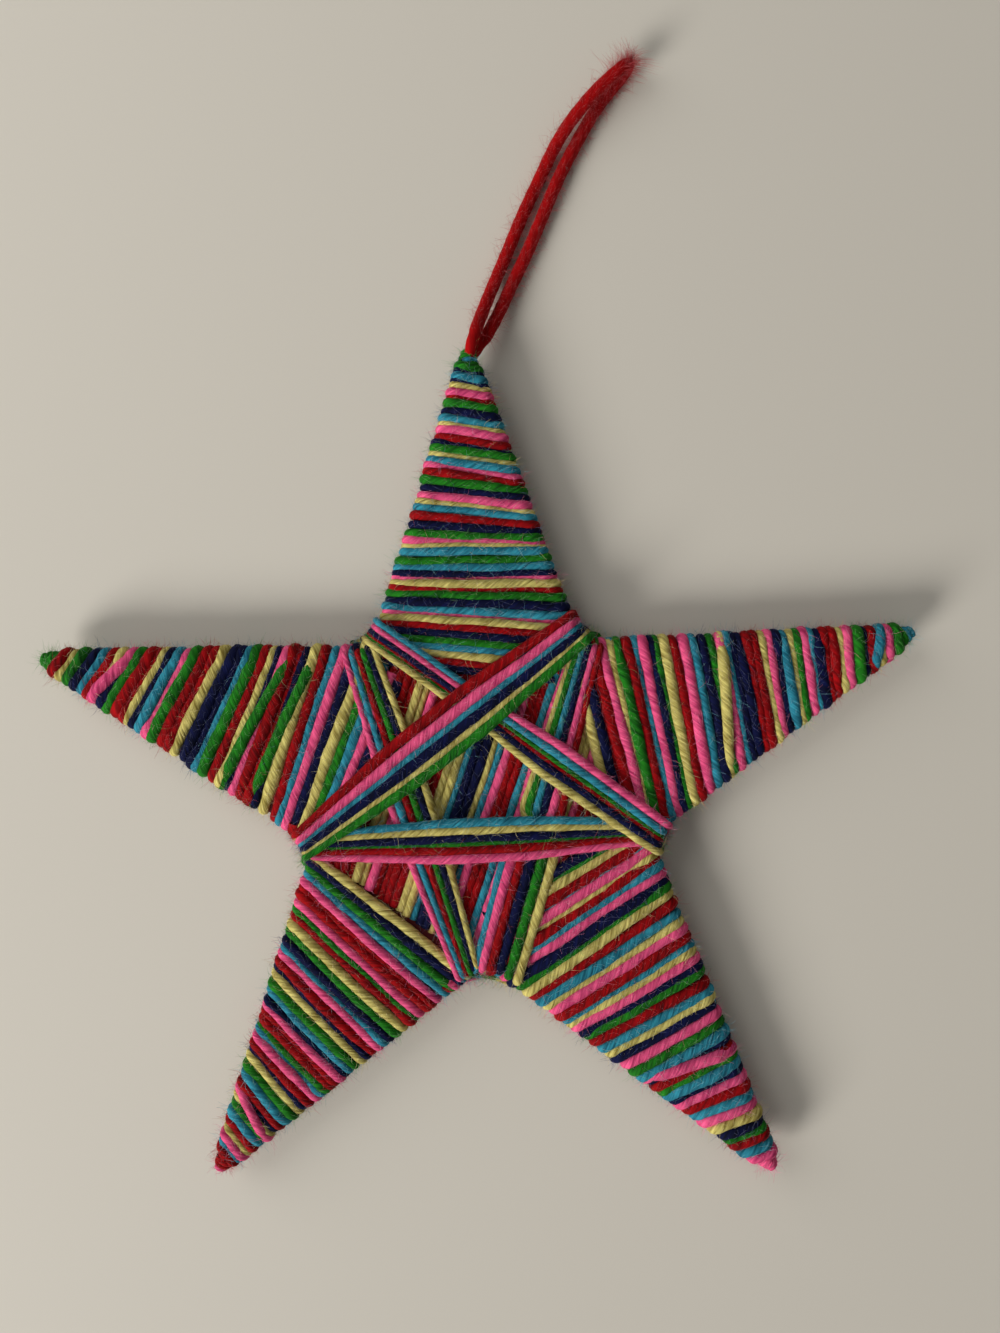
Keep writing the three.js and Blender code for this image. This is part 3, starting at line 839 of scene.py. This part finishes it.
def band_run(crossing, letter):
    """One yarn from notch to notch over one face, with a quarter turn over the edge at each end."""
    start, end, face, first_order, last_order, pitches, layers, shifts = crossing
    orders = (first_order, last_order)
    slots = [band_slot(order, letter) for order in orders]
    thin = [letter.lower() in order for order in orders]
    low, high = EARLY_CHANGE if start == EARLY_NOTCH else LATE_CHANGE
    first = notch_spot(start, shifts[0] - slots[0] * pitches[0] * face, layers[0])
    last = notch_spot(end, shifts[1] + slots[1] * pitches[3] * face, layers[3])
    way = (last - first).normalized()
    right = Vector((way.y, -way.x, 0)) * face
    points = []
    for i in range(BAND_STEPS + 1):
        t = i / BAND_STEPS
        change = smooth_step((t - low) / (high - low))
        slot = slots[0] + (slots[1] - slots[0]) * change
        straight = slots[0] * pitches[0] * (1 - t) + slots[1] * pitches[3] * t
        pitch = np.interp(t, CROSSING_PLACES, pitches)
        spot = first.lerp(last, t) + right * (slot * pitch - straight)
        radius = min(max(YARN_SHARE * pitch, BAND_THINNEST), BAND_THICKEST[face])
        rise = BAND_HEIGHT + BAND_LAYER * np.interp(t, CROSSING_PLACES, layers)
        if thin[change > 0.5]:
            radius *= THIN_SHARE
            rise -= BAND_SINK
        over = min(t, 1 - t) * (last - first).length / BAND_TURN
        if over < 1:
            rise *= math.sqrt(1 - (1 - over) ** 2)
        points.append((spot.x, spot.y, face * rise, radius))
    return points


def make_bands():
    for letter, colour in COLOURS.items():
        points = []
        for crossing in BANDS:
            points += band_run(crossing, letter)
        yarn_piece(f"centre_{colour}_band", letter, [points], f"centre_{colour}_yarn", BAND_SWAY)


def underwrap_ends(face, middle, along):
    """How far a first yarn goes each way from its middle, up to the base of each arm's winding."""
    near = -math.inf
    far = math.inf
    for i, arm in enumerate(ARMS):
        out = across(i * ARM_STEP, 0, 1)
        covered = BASE_REACH[arm] if face > 0 else 0
        base = (NOTCH_RADIUS + UNDERWRAP_OVERLAP - covered) * math.cos(ARM_STEP / 2) + UNDERWRAP_OVERLAP
        slope = along.dot(out)
        room = min(base, UNDERWRAP_REACH) - middle.dot(out)
        if slope > 0:
            far = min(far, room / slope)
        else:
            near = max(near, room / slope)
    return near, far


def make_underwrap():
    """Slanting yarns over the middle of the card, front and back."""
    along = Vector((math.sin(UNDERWRAP_LEAN), math.cos(UNDERWRAP_LEAN), 0))
    side = Vector((along.y, -along.x, 0))
    sides = ((1, "underwrap_front", UNDERWRAP_ORDER), (-1, "underwrap_back", BACK_UNDERWRAP_ORDER))
    for face, node, order in sides:
        lines = {letter: [] for letter in COLOURS}
        for k, name in enumerate(order):
            middle = side * (k - (len(order) - 1) / 2) * UNDERWRAP_PITCH
            near, far = underwrap_ends(face, middle, along)
            if far - near < UNDERWRAP_SHORTEST:
                continue
            radius = YARN_RADIUS * (UNDERWRAP_FULL if name.isupper() else UNDERWRAP_THIN)
            height = face * (UNDERWRAP_HEIGHT - (0 if name.isupper() else HIDDEN_SINK))
            lines[name.upper()].append([(*(middle + along * t).xy, height, radius) for t in (near, far)])
        for letter in sorted(set(order.upper())):
            yarn_piece(f"{node}_{COLOURS[letter]}", letter, lines[letter], node, UNDERWRAP_SWAY)


# Hanging loop

def make_loop():
    """One red yarn, doubled: out along one leg, round the fold and back."""
    first = (*LOOP_TUCK, PIVOT.z - LOOP_TUCK_RISE)
    last = (*LOOP_TUCK, PIVOT.z + LOOP_TUCK_RISE)
    route = smooth_route((first, *LOOP_ROUTE, last), YARN_STEP) + np.array((PIVOT.x, PIVOT.y, 0))
    places = route * MM
    fold = int(np.argmax(route[:, 1]))
    steps = np.arange(len(route))
    near_fold = np.exp(-((steps - fold) / LOOP_TAPER) ** 2)
    from_end = np.minimum(steps, steps[::-1]) * YARN_STEP
    narrow = np.clip(from_end / LOOP_NECK, LOOP_NECK_SHARE, 1)
    radii = LOOP_FULLNESS * LOOP_YARN / 2 * (1 - LOOP_FOLD_THINNING * near_fold) * narrow
    piece = tube("red_hanging_loop", [(places, radii)], YARN_SECTION, LOOP_TWIST_LENGTH)
    piece.data.materials.append(SLACK_MATERIAL)
    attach(piece, "loop")
    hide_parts("hanging_loop")
    return route


# Fuzz

def above_table(places, thickness):
    """Places of a fibre, none of them lower than when it lies on the table."""
    for place in places:
        place.z = max(place.z, thickness - CENTRE.z)
    return places


def hair(rng, root, out, along, length):
    """One bent fibre that stands off a yarn, as three places in millimetres."""
    lean = along * rng.uniform(-1, 1) + Vector([rng.gauss(0, spread) for spread in HAIR_SPREAD])
    bend = along * rng.uniform(-HAIR_BEND, HAIR_BEND)
    way = (out + lean * HAIR_LEAN).normalized()
    places = [root + way * length * t + bend * length * t * t for t in HAIR_PLACES]
    return above_table(places, EDGE_FUZZ_THICKNESS)


def stray(rng, root, out, along):
    """One fibre in a low bow over a yarn and its neighbours, as three places in millimetres."""
    side = out.cross(along)
    way = (along * rng.uniform(-1, 1) + side * rng.uniform(-1, 1)).normalized()
    way *= rng.uniform(*FACE_FUZZ_LENGTH)
    bend = out.cross(way) * rng.uniform(-STRAY_BEND, STRAY_BEND)
    places = [root, root + way / 2 + bend + out * STRAY_RISE, root + way + out * STRAY_RISE]
    return above_table(places, FACE_FUZZ_THICKNESS)


def round_way(rng, along):
    """Any way straight out from a yarn."""
    out = Vector([rng.gauss(0, 1) for _ in range(3)])
    return (out - along * out.dot(along)).normalized()


def fuzz_lines(rng, line):
    """Fibres of a yarn, as thicknesses and places: hairs where it turns over an edge, strays on the faces."""
    fibres = []
    for before, here, after in zip(line, line[1:], line[2:]):
        place = Vector(here[:3])
        radius = here[3]
        along = (Vector(after[:3]) - Vector(before[:3])).normalized()
        on_edge = abs(place.z) < EDGE_HEIGHT
        face_per_mm = FACE_FUZZ_PER_MM if place.z > 0 else BACK_FUZZ_PER_MM
        per_mm = EDGE_FUZZ_PER_MM if on_edge else face_per_mm
        for _ in range(int(per_mm * YARN_STEP + rng.random())):
            out = round_way(rng, along)
            if on_edge:
                length = min(rng.expovariate(EDGE_FUZZ_RATE) + FUZZ_SHORTEST, EDGE_FUZZ_LONGEST)
                root = place + out * radius * EDGE_FUZZ_ROOT
                fibres.append((EDGE_FUZZ_THICKNESS, hair(rng, root, out, along, length)))
            else:
                out.z += math.copysign(STRAY_UPWARDS, place.z)
                out.normalize()
                fibres.append((FACE_FUZZ_THICKNESS, stray(rng, place + out * radius, out, along)))
    return fibres


def fuzz_piece(name, letter, body, fibres):
    """Fibres in one colour, as one piece. Each thins towards its end."""
    lines = []
    for thickness, places in fibres:
        radii = np.full(len(places), thickness)
        radii[-1] /= FIBRE_THINNING
        lines.append((to_row(places), radii))
    piece = tube(name, lines, FIBRE_SECTION)
    piece.data.materials.append(FUZZ_MATERIALS[letter])
    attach(piece, body)


def make_fuzz():
    for letter, colour in COLOURS.items():
        rng = random.Random("fuzz" + letter)
        fibres = [fibre for line in fuzz_roots[letter] for fibre in fuzz_lines(rng, line)]
        fuzz_piece(f"{colour}_fuzz", letter, "star", fibres)


def make_loop_fuzz(route):
    """Fibres along the loop, and a tuft of longer ones at the fold."""
    rng = random.Random("loop fuzz")
    line = [Vector(place) for place in route - np.array(CENTRE)]
    bare = int(LOOP_NECK / YARN_STEP)
    fibres = []
    for _ in range(int(LOOP_LENGTH / MM * LOOP_FUZZ_PER_MM)):
        i = rng.randrange(bare, len(line) - bare)
        along = (line[i + 1] - line[i - 1]).normalized()
        out = round_way(rng, along)
        length = min(rng.expovariate(LOOP_FUZZ_RATE) + FUZZ_SHORTEST, LOOP_FUZZ_LONGEST)
        root = line[i] + out * LOOP_YARN * LOOP_FUZZ_ROOT
        fibres.append((EDGE_FUZZ_THICKNESS, hair(rng, root, out, along, length)))
    fold = int(np.argmax(route[:, 1]))
    for _ in range(TUFT_FIBRES):
        i = fold + rng.randrange(-TUFT_REACH, TUFT_REACH + 1)
        way = Vector([mean + rng.gauss(0, spread) for mean, spread in zip(TUFT_WAY, TUFT_SPREAD)])
        way.normalize()
        root = line[i] + way * LOOP_YARN * TUFT_ROOT
        length = rng.uniform(*TUFT_LENGTH)
        fibres.append((EDGE_FUZZ_THICKNESS, hair(rng, root, way, TUFT_ALONG, length)))
    fuzz_piece("loop_fuzz", "R", "loop", fibres)


# Deep and bright colour, sheen and relief of each yarn, then deep and bright colour of its fuzz.
YARN_MATERIALS = {
    "R": yarn_material("red_yarn", "500004", "ac040c", "ff6060", 0.7),
    "P": yarn_material("pink_yarn", "a82c5c", "ff6698", "ffb0c8", 0.7),
    "B": yarn_material("light_blue_yarn", "0e4c60", "389cb4", "a0e0f0", 0.7),
    "N": yarn_material("navy_yarn", "010314", "0a1244", "5060a0", 0.7),
    "Y": yarn_material("yellow_yarn", "807030", "e8dc84", "fff0c0", 0.9),
    "G": yarn_material("green_yarn", "083c0c", "268a1e", "90e080", 0.8),
}
SLACK_MATERIAL = yarn_material("slack_red_yarn", "820002", "aa0004", "ff6060", 0.3)
FUZZ_MATERIALS = {
    "R": fuzz_material("red_fuzz", "98040c", "cc343c"),
    "P": fuzz_material("pink_fuzz", "e05484", "f4a0c0"),
    "B": fuzz_material("light_blue_fuzz", "3c90a8", "90ccd8"),
    "N": fuzz_material("navy_fuzz", "101848", "505c94"),
    "Y": fuzz_material("yellow_fuzz", "c8b460", "f0e4b0"),
    "G": fuzz_material("green_fuzz", "2c7c28", "80bc74"),
}
YARN_SECTION = cross_section("yarn_section", SECTION_POINTS, PLIES, PLY_DEPTH)
FIBRE_SECTION = cross_section("fibre_section", FIBRE_POINTS, 1, 0)

make_camera()
loop_route = make_loop()
make_light()
make_table()
finish_card()
make_underwrap()
make_arms()
make_knobs()
make_bands()
make_fuzz()
make_loop_fuzz(loop_route)
bpy.data.objects.remove(YARN_SECTION)
bpy.data.objects.remove(FIBRE_SECTION)
